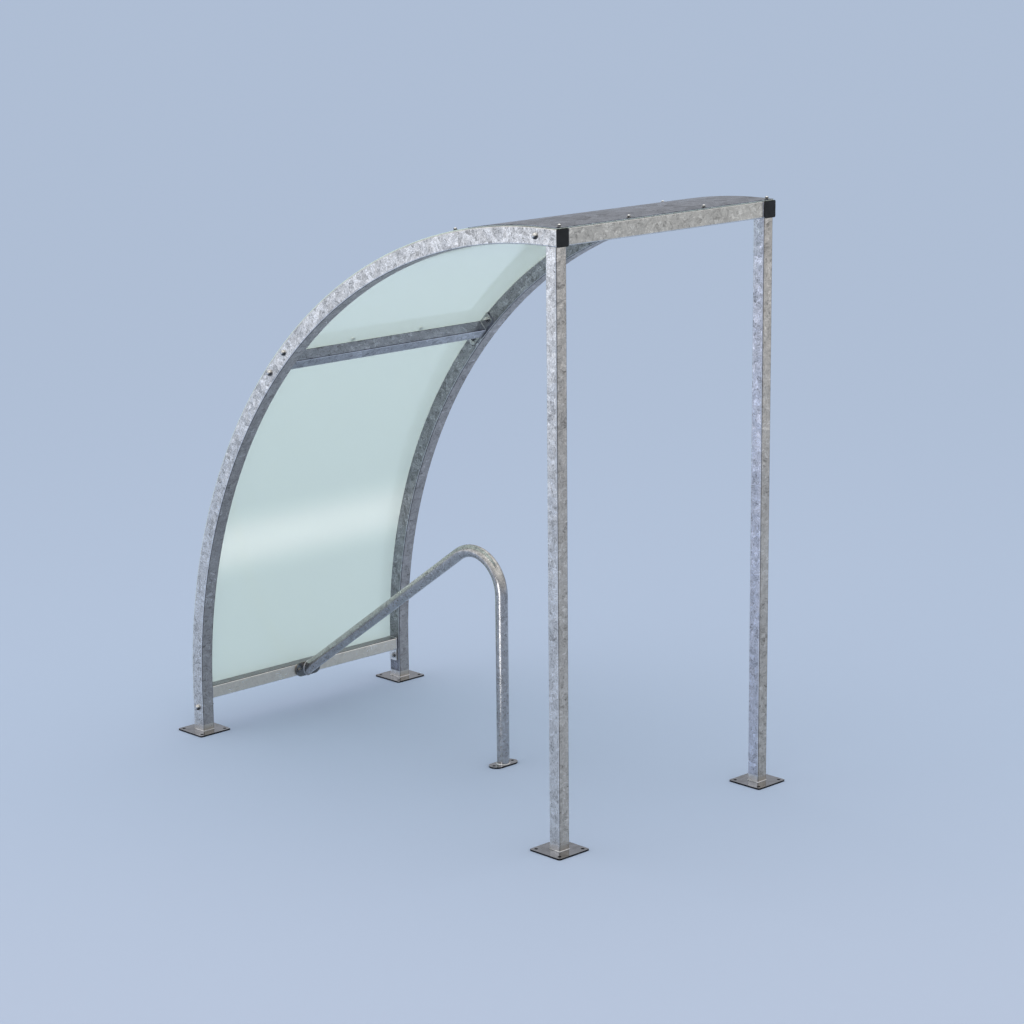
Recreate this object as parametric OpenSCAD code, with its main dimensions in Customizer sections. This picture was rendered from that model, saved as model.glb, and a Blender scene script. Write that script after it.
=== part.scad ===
// Bike shelter: two bent side frames on front posts, joined by a front beam, a purlin and a
// bottom rail, roofed by one clear curved sheet, with a round hoop to lean the bikes on.
// Millimetres. +Z is up, the open front faces -Y, the curved back is at +Y.
// The origin is on the ground, at the middle of the four feet.

/* [Overall] */
// Spacing of the two side frames, centre to centre
frame_spacing = 1050; // [700:10:2000]
// Radius of the quarter-circle bend, at the outer face of the frame
bend_radius = 2000; // [1500:10:2500]
// Height at which the straight rear leg turns into the bend
rear_leg_height = 180; // [140:5:500]

/* [Side frames] */
// Width of the frame tube, across the shelter
frame_width = 55; // [40:1:80]
// Depth of the frame tube, from its inner to its outer face
frame_depth = 60; // [45:1:90]
// Wall of the frame tube
frame_wall = 3; // [2:0.5:5]
// Straight length of frame in front of the bend
front_straight = 60; // [50:5:300]

/* [Front posts] */
// Side of the square post
post_side = 50; // [40:1:80]
// Wall of the post
post_wall = 3; // [2:0.5:5]
// How far the frame runs out past the front face of the post
post_setback = 5; // [0:1:30]

/* [Cross members] */
// Depth of the front beam
beam_depth = 50; // [40:1:80]
// Side of the square purlin
purlin_side = 50; // [40:1:60]
// Place of the purlin on the bend, up from the rear leg
purlin_angle = 44.2; // [20:0.1:70]
// Side of the square bottom rail
rail_side = 50; // [40:1:60]
// Clear height under the bottom rail
rail_clearance = 128; // [110:1:300]
// Wall of the cross members
cross_wall = 3; // [2:0.5:5]
// Thickness of the flanges on their ends
flange_thickness = 5; // [3:0.5:10]

/* [Fastenings] */
// Bolt holes in the flanges and frames
bolt_hole = 11; // [8:0.5:14]
// Spacing of the two bolts at each end of the purlin
purlin_bolt_spacing = 120; // [90:5:160]
// Distance of the beam bolt behind the front face of the beam
beam_bolt_setback = 98; // [80:1:140]
// Distance of the rail bolt under the rail
rail_bolt_drop = 28; // [20:1:40]
// Metal from a bolt centre to the end of its flange
bolt_edge = 22; // [15:1:30]
// Distance of the long edges of a flange inside its tube
flange_inset = 3; // [2:0.5:6]

/* [Feet] */
// Side of the square base plates
plate_side = 150; // [110:5:200]
// Thickness of the base plates
plate_thickness = 6; // [4:1:12]
// Corner radius of the base plates
plate_corner = 8; // [2:1:15]
// Spacing of the anchor holes, both ways
anchor_spacing = 115; // [80:5:160]
// Anchor holes in all the feet
anchor_hole = 13; // [10:0.5:18]
// Height of the stub between a base plate and its leg
stub_height = 26; // [15:1:60]

/* [Roof] */
// Thickness of the clear sheet
panel_thickness = 3; // [2:0.5:6]
// Distance of the clear sheet from the outer sides of the frames
panel_margin = 4; // [0:1:15]
// Thickness of the metal cover sheet over the front of the roof
cover_thickness = 1.5; // [1:0.5:3]
// Length of the cover sheet behind the start of the bend
cover_reach = 370; // [200:10:700]

/* [Hoop] */
// Outer diameter of the hoop tube
hoop_diameter = 48.3; // [33:0.1:60]
// Wall of the hoop tube
hoop_wall = 3; // [2:0.5:5]
// Distance of the upright hoop leg behind the front posts
hoop_setback = 825; // [500:5:1200]
// Height of the hoop, to the top of the tube
hoop_height = 840; // [600:10:1100]
// Radius of the hoop bend, at the middle of the tube
hoop_bend = 150; // [80:5:200]
// Length of the two hoop plates
hoop_plate_length = 130; // [110:5:180]
// Width of the two hoop plates
hoop_plate_width = 60; // [50:1:80]
// Spacing of the two holes in each hoop plate
hoop_hole_spacing = 96; // [85:1:140]

/* [Caps] */
// Thickness of the cap that shows
cap_face = 3; // [2:0.5:6]
// Lip of the cap past the sides of the tube
cap_lip = 1; // [0:0.5:3]
// Length of the plug inside the tube
cap_plug = 20; // [10:1:40]

/* [Hidden] */

$fn = 96;
eps = 1;                      // how far a cutter runs past what it cuts
corner_ratio = 1.5;           // outer corner radius of a square tube, in walls
seat_gap = 0.2;               // gap under a curved sheet and beside a plug
flat_gap = 0.3;               // gap over a flat purlin under the curved sheet
LEFT = -1;
RIGHT = 1;

// Places along Y: the posts and the rear legs stand evenly about the origin
run = bend_radius + front_straight - frame_depth / 2 - post_side / 2 - post_setback;
post_y = -run / 2;
leg_y = run / 2;
bend_y = leg_y + frame_depth / 2 - bend_radius;     // centre of the bend
bend_z = rear_leg_height;
front_y = bend_y - front_straight;                  // front end of the frames
frame_x = frame_spacing / 2;
middle_radius = bend_radius - frame_depth / 2;
top_z = bend_z + bend_radius;                       // upper face of the frames
under_z = top_z - frame_depth;
stub_top = plate_thickness + stub_height;
clear_width = frame_spacing - frame_width;          // between the side frames
cross_length = clear_width - 2 * flange_thickness;

// Front beam
beam_y = post_y - post_side / 2 - post_setback + cap_face;
beam_bolt_y = beam_y + beam_bolt_setback;
beam_z = (top_z + under_z) / 2;

// Bottom rail, flush with the outer faces of the frames
rail_back = leg_y + frame_depth / 2;
rail_y = rail_back - rail_side / 2;
rail_z = rail_clearance + rail_side / 2;
rail_bolt_z = rail_clearance - rail_bolt_drop;

// Purlin
purlin_radius = bend_radius - purlin_side / 2 - flat_gap;

// Sheets
panel_radius = bend_radius + seat_gap;
panel_width = frame_spacing + frame_width - 2 * panel_margin;
cover_radius = panel_radius + panel_thickness + seat_gap;

// Hoop: an upright leg, one bend and a straight slope down to the rail plate
hoop_y = post_y + hoop_setback;
hoop_r = hoop_diameter / 2;
hoop_bend_y = hoop_y + hoop_bend;
hoop_bend_z = hoop_height - hoop_r - hoop_bend;
hoop_end_y = rail_back - rail_side - plate_thickness;
hoop_end_z = rail_z;
hoop_dy = hoop_end_y - hoop_bend_y;
hoop_dz = hoop_bend_z - hoop_end_z;
hoop_reach = sqrt(hoop_dy * hoop_dy + hoop_dz * hoop_dz);
hoop_slope = atan2(hoop_dz, hoop_dy) + asin(hoop_bend / hoop_reach);
hoop_run = sqrt(hoop_reach * hoop_reach - hoop_bend * hoop_bend);

// ---------------------------------------------------------------- outlines

// Rectangle with round corners, centred
module round_rectangle(a, b, r) {
    square([a - 2 * r, b], center = true);
    square([a, b - 2 * r], center = true);
    for (i = [-1, 1], j = [-1, 1])
        translate([i * (a / 2 - r), j * (b / 2 - r)]) circle(r);
}

// Section of a square tube: a across, b along, with a wall
module tube_section(a, b, wall) {
    difference() {
        round_rectangle(a, b, corner_ratio * wall);
        round_rectangle(a - 2 * wall, b - 2 * wall, (corner_ratio - 1) * wall);
    }
}

// Section of a round tube
module ring_section(r, wall) {
    difference() {
        circle(r);
        circle(r - wall);
    }
}

// Strip with half-round ends along X
module strip_outline(len, w) {
    square([len - w, w], center = true);
    for (i = [-1, 1]) translate([i * (len - w) / 2, 0]) circle(w / 2);
}

// ---------------------------------------------------------------- placing

// Local X, Y, Z become Y, Z, X of the shelter
module side_view() rotate([90, 0, 90]) children();

// A frame of reference on the bend: X points out of the bend, Y points up along it
module on_bend(angle, radius)
    translate([0, bend_y, bend_z]) side_view() rotate([0, 0, angle])
        translate([radius, 0, 0]) children();

// Turns a section round the middle of the bend, from the rear leg to the top
module sweep_bend()
    translate([0, bend_y, bend_z]) side_view()
        rotate_extrude(angle = 90, $fn = 180) children();

// A hole across the shelter, through everything near x
module cross_hole(x, y, z, reach)
    translate([x, y, z]) rotate([0, 90, 0]) cylinder(h = reach, d = bolt_hole, center = true);

// The two purlin bolt holes in one side
module purlin_holes(x, reach)
    for (s = [-1, 1])
        on_bend(purlin_angle, purlin_radius)
            translate([0, s * purlin_bolt_spacing / 2, x])
                cylinder(h = reach, d = bolt_hole, center = true);

// ---------------------------------------------------------------- side frames

module frame_solid() {
    translate([0, leg_y, stub_top])
        linear_extrude(rear_leg_height - stub_top)
            tube_section(frame_width, frame_depth, frame_wall);
    sweep_bend()
        translate([middle_radius, 0])
            tube_section(frame_depth, frame_width, frame_wall);
    translate([0, bend_y, beam_z])
        rotate([90, 0, 0])
            linear_extrude(front_straight)
                tube_section(frame_width, frame_depth, frame_wall);
}

module frame(side) {
    x = side * frame_x;
    reach = frame_width + 2 * eps;
    color("#a9aeb2") difference() {
        translate([x, 0, 0]) frame_solid();
        cross_hole(x, leg_y, rail_bolt_z, reach);
        cross_hole(x, beam_bolt_y, beam_z, reach);
        purlin_holes(x, reach);
    }
}
module frame_left() frame(LEFT);
module frame_right() frame(RIGHT);

module end_cap(side) {
    plug_a = frame_width - 2 * frame_wall - 2 * seat_gap;
    plug_b = frame_depth - 2 * frame_wall - 2 * seat_gap;
    color("#1b1c1d") translate([side * frame_x, front_y, beam_z]) rotate([90, 0, 0]) {
        linear_extrude(cap_face)
            round_rectangle(frame_width + 2 * cap_lip, frame_depth + 2 * cap_lip,
                            corner_ratio * frame_wall + cap_lip);
        translate([0, 0, -cap_plug])
            linear_extrude(cap_plug)
                round_rectangle(plug_a, plug_b, frame_wall);
    }
}
module end_cap_left() end_cap(LEFT);
module end_cap_right() end_cap(RIGHT);

// ---------------------------------------------------------------- posts and feet

module post(side)
    color("#c3c5c6") translate([side * frame_x, post_y, stub_top])
        linear_extrude(under_z - stub_top) tube_section(post_side, post_side, post_wall);
module post_left() post(LEFT);
module post_right() post(RIGHT);

module foot(side, y)
    color("#8d9296") translate([side * frame_x, y, 0]) difference() {
        linear_extrude(plate_thickness) round_rectangle(plate_side, plate_side, plate_corner);
        for (i = [-1, 1], j = [-1, 1])
            translate([i * anchor_spacing / 2, j * anchor_spacing / 2, -eps])
                cylinder(h = plate_thickness + 2 * eps, d = anchor_hole);
    }
module foot_front_left() foot(LEFT, post_y);
module foot_front_right() foot(RIGHT, post_y);
module foot_rear_left() foot(LEFT, leg_y);
module foot_rear_right() foot(RIGHT, leg_y);

module stub(side, y, a, b, wall)
    color("#d5d6d6") translate([side * frame_x, y, plate_thickness])
        linear_extrude(stub_height) tube_section(a, b, wall);
module stub_front_left() stub(LEFT, post_y, post_side, post_side, post_wall);
module stub_front_right() stub(RIGHT, post_y, post_side, post_side, post_wall);
module stub_rear_left() stub(LEFT, leg_y, frame_width, frame_depth, frame_wall);
module stub_rear_right() stub(RIGHT, leg_y, frame_width, frame_depth, frame_wall);

// ---------------------------------------------------------------- cross members

// A square tube along X, centred
module cross_tube(a, b)
    rotate([90, 0, 90])
        translate([0, 0, -cross_length / 2])
            linear_extrude(cross_length) tube_section(a, b, cross_wall);

// Where a flange starts along X: against the inner face of its frame
function flange_x(side) = side > 0 ? clear_width / 2 - flange_thickness : -clear_width / 2;

module front_beam()
    color("#a7a7a4") translate([0, beam_y + beam_depth / 2, beam_z])
        cross_tube(beam_depth, frame_depth);

module beam_flange(side) {
    len = beam_bolt_setback + bolt_edge;
    height = frame_depth - 2 * flange_inset;
    color("#9a9da0") difference() {
        translate([flange_x(side), beam_y + len / 2, beam_z]) side_view()
            linear_extrude(flange_thickness) round_rectangle(len, height, cross_wall);
        cross_hole(side * clear_width / 2, beam_bolt_y, beam_z, 2 * flange_thickness + 2 * eps);
    }
}
module beam_flange_left() beam_flange(LEFT);
module beam_flange_right() beam_flange(RIGHT);

module purlin()
    color("#8b9094") on_bend(purlin_angle, purlin_radius)
        translate([0, 0, -cross_length / 2])
            linear_extrude(cross_length) tube_section(purlin_side, purlin_side, cross_wall);

module purlin_flange(side) {
    len = purlin_bolt_spacing + 2 * bolt_edge;
    width = purlin_side - 2 * flange_inset;
    color("#9a9da0") difference() {
        on_bend(purlin_angle, purlin_radius)
            translate([0, 0, flange_x(side)])
                linear_extrude(flange_thickness) round_rectangle(width, len, cross_wall);
        purlin_holes(side * clear_width / 2, 2 * flange_thickness + 2 * eps);
    }
}
module purlin_flange_left() purlin_flange(LEFT);
module purlin_flange_right() purlin_flange(RIGHT);

module bottom_rail()
    color("#b0aeab") difference() {
        translate([0, rail_y, rail_z]) cross_tube(rail_side, rail_side);
        for (s = [-1, 1])
            translate([s * hoop_hole_spacing / 2, rail_back - rail_side, rail_z])
                rotate([90, 0, 0])
                    cylinder(h = 2 * cross_wall + 2 * eps, d = bolt_hole, center = true);
    }

module rail_flange(side) {
    height = rail_side + rail_bolt_drop + bolt_edge;
    width = rail_side - 2 * flange_inset;
    color("#9a9da0") difference() {
        translate([flange_x(side), rail_y, rail_clearance + rail_side - height / 2]) side_view()
            linear_extrude(flange_thickness) round_rectangle(width, height, cross_wall);
        cross_hole(side * clear_width / 2, leg_y, rail_bolt_z, 2 * flange_thickness + 2 * eps);
    }
}
module rail_flange_left() rail_flange(LEFT);
module rail_flange_right() rail_flange(RIGHT);

// ---------------------------------------------------------------- roof

// A sheet that follows the outer faces of the frames, from the rear legs to the front beam
module curved_sheet(radius, thickness, width) {
    sweep_bend()
        translate([radius, -width / 2]) square([thickness, width]);
    translate([-width / 2, front_y + cap_face, bend_z + radius])
        cube([width, front_straight - cap_face, thickness]);
}

module roof_panel()
    color("#cfe6e2", 0.45) {
        curved_sheet(panel_radius, panel_thickness, panel_width);
        translate([-panel_width / 2, bend_y + panel_radius, rail_clearance])
            cube([panel_width, panel_thickness, bend_z - rail_clearance]);
    }

// Only the front of such a sheet, cut straight across behind the top of the bend
module roof_cover()
    color("#70767f") difference() {
        curved_sheet(cover_radius, cover_thickness, panel_width);
        translate([-panel_width, bend_y + cover_reach, 0])
            cube([2 * panel_width, 2 * bend_radius, 2 * top_z]);
    }

// ---------------------------------------------------------------- hoop

// The upright leg of the hoop, from its foot plate to the bend
module hoop_leg()
    color("#8f9599") translate([0, hoop_y, plate_thickness])
        linear_extrude(hoop_bend_z - plate_thickness) ring_section(hoop_r, hoop_wall);

// The bend at the top of the hoop, from the upright leg round to the slope
module hoop_bend_tube()
    color("#8f9599") translate([0, hoop_bend_y, hoop_bend_z]) side_view()
        rotate([0, 0, 90 - hoop_slope]) rotate_extrude(angle = 90 + hoop_slope, $fn = 180)
            translate([hoop_bend, 0]) ring_section(hoop_r, hoop_wall);

// The slope of the hoop, down to its plate on the bottom rail
module hoop_slope_tube()
    color("#8f9599") difference() {
        translate([0, hoop_bend_y, hoop_bend_z]) side_view()
            rotate([0, 0, 90 - hoop_slope]) translate([hoop_bend, 0, 0]) rotate([90, 0, 0])
                linear_extrude(hoop_run + hoop_diameter) ring_section(hoop_r, hoop_wall);
        translate([-hoop_diameter, hoop_end_y, -hoop_height])
            cube([2 * hoop_diameter, 4 * hoop_diameter, 3 * hoop_height]);
    }

// The plate at either end of the hoop, with its two holes
module hoop_plate(hole)
    difference() {
        linear_extrude(plate_thickness) strip_outline(hoop_plate_length, hoop_plate_width);
        for (s = [-1, 1])
            translate([s * hoop_hole_spacing / 2, 0, -eps])
                cylinder(h = plate_thickness + 2 * eps, d = hole);
    }

module hoop_foot_plate()
    color("#8d9296") translate([0, hoop_y, 0]) hoop_plate(anchor_hole);

module hoop_rail_plate()
    color("#8d9296") translate([0, rail_back - rail_side, rail_z]) rotate([90, 0, 0])
        hoop_plate(bolt_hole);

// ---------------------------------------------------------------- nodes

frame_left();
frame_right();
end_cap_left();
end_cap_right();
post_left();
post_right();
foot_front_left();
foot_front_right();
foot_rear_left();
foot_rear_right();
stub_front_left();
stub_front_right();
stub_rear_left();
stub_rear_right();
front_beam();
beam_flange_left();
beam_flange_right();
purlin();
purlin_flange_left();
purlin_flange_right();
bottom_rail();
rail_flange_left();
rail_flange_right();
roof_panel();
roof_cover();
hoop_leg();
hoop_bend_tube();
hoop_slope_tube();
hoop_foot_plate();
hoop_rail_plate();
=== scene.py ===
"""Bike shelter: finishes, fasteners, welds, floor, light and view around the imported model.

Every length is in metres, +Z is up, -Y is the open front and +X is to the right of
someone who stands at the front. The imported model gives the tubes, plates and sheets.
This file dresses them and adds the small hardware as surfaces worked out with numpy.
"""
import logging
import math
from dataclasses import dataclass, field
from enum import Enum
from typing import Any, Callable, ClassVar, Sequence

import bpy
import numpy as np
from mathutils import Matrix


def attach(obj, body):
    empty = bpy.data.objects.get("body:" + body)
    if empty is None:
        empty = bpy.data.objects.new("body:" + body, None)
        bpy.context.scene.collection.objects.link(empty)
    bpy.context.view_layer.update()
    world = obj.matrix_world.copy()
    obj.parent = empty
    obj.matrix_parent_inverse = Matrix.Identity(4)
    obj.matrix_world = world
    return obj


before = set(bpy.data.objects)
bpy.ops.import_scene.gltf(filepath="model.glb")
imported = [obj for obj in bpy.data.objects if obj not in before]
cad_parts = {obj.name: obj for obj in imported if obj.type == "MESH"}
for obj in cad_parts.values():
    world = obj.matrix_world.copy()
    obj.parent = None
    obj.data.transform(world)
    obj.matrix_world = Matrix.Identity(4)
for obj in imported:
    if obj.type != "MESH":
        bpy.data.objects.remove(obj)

LOG = logging.getLogger("shelter")
TAU = 2.0 * math.pi
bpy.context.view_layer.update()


# ------------------------------------------------------------------ node trees


class Graph:
    """The node tree of one material or world, built a node at a time."""

    def __init__(self, owner: Any) -> None:
        """Empty the owner's node tree.

        Args:
            owner: the material or world that the nodes belong to.
        """
        self.owner = owner
        self.owner.use_nodes = True
        self.tree = self.owner.node_tree
        self.tree.nodes.clear()

    def add(self, kind: str, inputs: dict[Any, Any] | None = None, **settings: Any) -> Any:
        """Add one node.

        Args:
            kind: the node type, without its ShaderNode prefix.
            inputs: a value or an output socket for each named or numbered input.
            settings: properties of the node itself.

        Returns:
            The new node.
        """
        node = self.tree.nodes.new("ShaderNode" + kind)
        for key, value in settings.items():
            setattr(node, key, value)
        for key, value in (inputs or {}).items():
            self.feed(node.inputs[key], value)
        return node

    def feed(self, socket: Any, value: Any) -> None:
        """Link an output socket to an input, or set the input's own value.

        Args:
            socket: the input socket.
            value: an output socket or a plain value.
        """
        if isinstance(value, bpy.types.NodeSocket):
            self.tree.links.new(value, socket)
        else:
            socket.default_value = value

    def math(self, operation: str, a: Any, b: Any = 0.0, c: Any = 0.0) -> Any:
        """Work out one operation on up to three numbers and return its output."""
        inputs = {0: a, 1: b, 2: c}
        return self.add("Math", inputs, operation=operation).outputs[0]

    def vector(self, operation: str, a: Any, b: Any = (0.0, 0.0, 0.0)) -> Any:
        """Work out one operation on two vectors and return the vector."""
        return self.add("VectorMath", {0: a, 1: b}, operation=operation).outputs["Vector"]

    def scaled(self, vector: Any, amount: Any) -> Any:
        """Multiply a vector by a number and return the vector."""
        inputs = {0: vector, "Scale": amount}
        return self.add("VectorMath", inputs, operation="SCALE").outputs["Vector"]

    def dot(self, a: Any, b: Any) -> Any:
        """Return the dot product of two vectors."""
        return self.add("VectorMath", {0: a, 1: b}, operation="DOT_PRODUCT").outputs["Value"]

    def part(self, vector: Any, axis: str) -> Any:
        """Return the X, Y or Z part of a vector."""
        return self.add("SeparateXYZ", {0: vector}).outputs[axis]

    def geometry(self, output: str) -> Any:
        """Return one output of the geometry node, such as Normal."""
        return self.add("NewGeometry").outputs[output]

    def mix(self, factor: Any, a: Any, b: Any, blend: str = "MIX") -> Any:
        """Blend two colours.

        Args:
            factor: how far the blend goes, from 0 to 1.
            a: the first colour.
            b: the second colour.
            blend: the way of blending.

        Returns:
            The blended colour.
        """
        node = self.add("Mix", data_type="RGBA", blend_type=blend)
        for index, value in ((0, factor), (6, a), (7, b)):
            self.feed(node.inputs[index], value)
        return node.outputs[2]

    def span(self, value: Any, low: float, high: float, start: float = 0.0, end: float = 1.0) -> Any:
        """Map start..end smoothly to low..high.

        Args:
            value: the number that is mapped.
            low: the result at the start.
            high: the result at the end.
            start: where the change begins.
            end: where the change is over.

        Returns:
            The mapped number.
        """
        inputs = {"Value": value, "From Min": start, "From Max": end, "To Min": low, "To Max": high}
        node = self.add("MapRange", inputs, interpolation_type="SMOOTHSTEP")
        return node.outputs["Result"]

    def ramp(self, factor: Any, stops: Sequence[tuple[float, Sequence[float]]]) -> Any:
        """Map a number to a colour through eased stops.

        Args:
            factor: the number that is mapped.
            stops: a place and a colour for each stop.

        Returns:
            The colour.
        """
        node = self.add("ValToRGB", {"Fac": factor})
        band = node.color_ramp
        band.interpolation = "EASE"
        while len(band.elements) < len(stops):
            band.elements.new(0.5)
        for element, (place, colour) in zip(band.elements, stops):
            element.position = place
            element.color = (*colour, 1.0)
        return node.outputs["Color"]

    def noise(self, place: Any, scale: float, detail: float = 3.0, rough: float = 0.55,
              warp: float = 0.0) -> Any:
        """Add fractal noise.

        Args:
            place: the coordinates that the noise is laid on.
            scale: how fine the noise is.
            detail: number of finer layers.
            rough: how strong the finer layers are.
            warp: how far the noise is bent by itself.

        Returns:
            The node of the noise.
        """
        inputs = {"Vector": place, "Scale": scale, "Detail": detail, "Roughness": rough,
                  "Distortion": warp}
        return self.add("TexNoise", inputs)

    def place(self, stretch: tuple[float, float, float] = (1.0, 1.0, 1.0)) -> Any:
        """Return the piece's own coordinates, stretched along its axes."""
        source = self.add("TexCoord").outputs["Object"]
        return self.add("Mapping", {"Vector": source, "Scale": stretch}).outputs["Vector"]

    def rounded(self, radius: float) -> Any:
        """Return the normal with sharp edges softened by a radius."""
        return self.add("Bevel", {"Radius": radius}, samples=4).outputs["Normal"]

    def bump(self, height: Any, strength: float, depth: float, normal: Any = None) -> Any:
        """Tip the normal by a height.

        Args:
            height: the height, from 0 to 1.
            strength: how much of the height counts.
            depth: the length that a height of 1 stands for.
            normal: the normal before, or None for the surface's own.

        Returns:
            The tipped normal.
        """
        inputs = {"Height": height, "Strength": strength, "Distance": depth}
        if normal is not None:
            inputs["Normal"] = normal
        return self.add("Bump", inputs).outputs["Normal"]

    def coat(self, colour: Any, roughness: Any, normal: Any, metal: float = 0.0,
             shine: float = 0.5) -> bpy.types.Material:
        """Finish the material as one opaque coat.

        Args:
            colour: the colour of the coat.
            roughness: the roughness of the coat.
            normal: the normal that light is reflected by.
            metal: 1 for metal and 0 for anything else.
            shine: strength of the reflection of what isn't metal.

        Returns:
            The finished material.
        """
        shader = self.add("BsdfPrincipled", {
            "Base Color": colour, "Roughness": roughness, "Normal": normal, "Metallic": metal,
            "Specular IOR Level": shine})
        return self.finish(shader.outputs["BSDF"])

    def finish(self, shader: Any, kind: str = "OutputMaterial") -> Any:
        """Join the shader to the owner's output and return the owner."""
        self.add(kind, {"Surface": shader})
        return self.owner


class Grain(Enum):
    """Which way the rolled grain of a steel section runs."""

    X = (0.14, 1.0, 1.0)
    Z = (1.0, 1.0, 0.14)
    NONE = (1.0, 1.0, 1.0)


# How the zinc's pattern is laid out, the same for every galvanised finish.
MIDDLE = (0.5, 0.5, 0.5)
BORDER_SCALE = 26.0
BORDER_SHIFT = 0.022
FEATHER_STRETCH = (0.20, 1.0, 1.0)
FLAKE_SHARE = 0.12
FEATHER_SHARE = 0.62
CLOUD_SHARE = 0.14
ROLLED_SHARE = 0.14
TONE_MIDDLE = 0.51
TONE_SPREAD = 0.20
# Painted shade: the cool tint of faces that look to the middle of the shelter.
PAINTED_INNER_SHADE_TINT = (0.96, 0.98, 1.10)
# Painted highlight beside the rounded tube corners.
PAINTED_CORNER_HIGHLIGHT = (0.95, 0.95, 0.96, 1.0)


@dataclass(frozen=True)
class Galvanised:
    """Hot-dip zinc on steel: spangle, rolled grain and cloudy tone, with painted light and shade on faces
    by the way they look, and a painted dark line and highlight at tube corners.
    """

    name: str
    dark: tuple[float, float, float]
    light: tuple[float, float, float]
    grain: Grain = Grain.Z
    spangle: float = 48.0
    stroke: float = 150.0
    ripple: float = 0.15
    contrast: float = 1.0
    rough: tuple[float, float] = (0.24, 0.40)
    corner: tuple[float, float, float] | None = (1.0, 0.0, 0.0)
    # The corner shade, front light, inner shade and shade way below paint light and shade into the colour.
    painted_corner_shade: float = 0.36
    painted_front_light: float = 0.0
    painted_front_light_tone: tuple[float, float, float] = (0.80, 0.755, 0.67)
    calm: float = 0.6
    painted_inner_shade: float = 1.0
    painted_shade_way: tuple[float, float, float] | None = None
    painted_shade_tone: tuple[float, float, float] = (0.6, 0.6, 0.6)

    def spangles(self, g: Graph, place: Any) -> tuple[Any, Any, Any]:
        """Add the zinc flakes.

        Each flake is a Voronoi cell, its border bent by noise. Inside a flake the zinc
        froze in feathers, which are noise stretched one way. The way differs from flake
        to flake, because the place is first turned about an axis drawn for each flake.

        Args:
            g: the graph the nodes go into.
            place: the piece's own coordinates.

        Returns:
            The tone of the flake, the node of the feathers and the colour of the flake.
        """
        bend = g.noise(place, BORDER_SCALE, 2.0).outputs["Color"]
        bent = g.vector("ADD", place, g.scaled(g.vector("SUBTRACT", bend, MIDDLE), BORDER_SHIFT))
        flake = g.add("TexVoronoi", {"Vector": bent, "Scale": self.spangle, "Randomness": 1.0})
        drawn = flake.outputs["Color"]
        tone = g.add("SeparateColor", {"Color": drawn}).outputs[0]
        turned_place = g.add("VectorRotate", {
            "Vector": bent, "Axis": g.vector("SUBTRACT", drawn, MIDDLE),
            "Angle": g.math("MULTIPLY", tone, TAU)}, rotation_type="AXIS_ANGLE").outputs["Vector"]
        stretched = g.vector("MULTIPLY", turned_place, FEATHER_STRETCH)
        return tone, g.noise(stretched, self.stroke, 4.0, 0.60, 0.6), drawn

    def shade_faces(self, g: Graph, colour: Any, place: Any, normal: Any) -> Any:
        """Change the tone by the way a face looks.

        Faces to the front and the back are painted warmer and darker, which stands in for warm light.
        Faces to the middle of the shelter, and those that look the given way, get painted shade. Rounded
        corners get a painted dark line with a painted highlight beside it.

        Args:
            g: the graph the nodes go into.
            colour: the colour so far.
            place: the piece's own coordinates.
            normal: the surface normal.

        Returns:
            The changed colour.
        """
        # Painted light: faces to the front and the back are made warmer and darker.
        if self.painted_front_light > 0.0:
            facing = g.math("MULTIPLY", g.math("ABSOLUTE", g.part(normal, "Y")), self.painted_front_light)
            colour = g.mix(facing, colour, (*self.painted_front_light_tone, 1.0), "MULTIPLY")
        # Painted shade: faces to the middle of the shelter are darker and cooler.
        if self.painted_inner_shade < 1.0:
            inward = g.math("MULTIPLY", g.part(place, "X"), g.part(normal, "X"))
            inner_shade_colour = tuple(self.painted_inner_shade * v for v in PAINTED_INNER_SHADE_TINT)
            colour = g.mix(g.span(inward, 1.0, 0.0, -0.30, -0.10), colour, (*inner_shade_colour, 1.0), "MULTIPLY")
        # Painted shade: faces that look the given way are darker.
        if self.painted_shade_way is not None:
            along = g.span(g.dot(normal, self.painted_shade_way), 0.0, 1.0, 0.3, 0.8)
            colour = g.mix(along, colour, (*self.painted_shade_tone, 1.0), "MULTIPLY")
        # Painted shade and highlight: a dark line along rounded corners, with a bright painted highlight
        # beside it.
        if self.corner is not None:
            across = g.math("ABSOLUTE", g.dot(normal, self.corner))
            plain, wear_and_painted_corner_shade = (1.0,) * 3, (self.painted_corner_shade,) * 3
            edge = g.ramp(across, ((0.05, plain), (0.26, wear_and_painted_corner_shade), (0.58, wear_and_painted_corner_shade), (0.76, plain)))
            colour = g.mix(1.0, colour, edge, "MULTIPLY")
            shine = g.math("MULTIPLY", g.span(across, 0.0, 0.7, 0.68, 0.84),
                           g.span(across, 1.0, 0.0, 0.93, 0.995))
            colour = g.mix(shine, colour, PAINTED_CORNER_HIGHLIGHT)
        return colour

    def tone(self, g: Graph, place: Any, front: Any, rolled: Any) -> tuple[Any, Any, Any]:
        """Weigh the flakes, their feathers, the clouds and the rolled grain into one tone.

        Args:
            g: the graph the nodes go into.
            place: the piece's own coordinates.
            front: 1 where a face looks to the front or the back, where the tone is calmer.
            rolled: the rolled grain.

        Returns:
            The tone, the node of the feathers and the colour of the flake.
        """
        flake_tone, feather, drawn = self.spangles(g, place)
        cloud = g.noise(place, 4.2, 3.0, 0.5).outputs["Fac"]
        tone = g.math("MULTIPLY", feather.outputs["Fac"], FEATHER_SHARE)
        for layer, share in ((flake_tone, FLAKE_SHARE), (cloud, CLOUD_SHARE), (rolled, ROLLED_SHARE)):
            tone = g.math("MULTIPLY_ADD", layer, share, tone)
        keep = g.math("MULTIPLY_ADD", front, -0.45 * self.calm, 1.0)
        tone = g.math("MULTIPLY_ADD", g.math("SUBTRACT", tone, TONE_MIDDLE), keep, TONE_MIDDLE)
        return tone, feather, drawn

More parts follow.
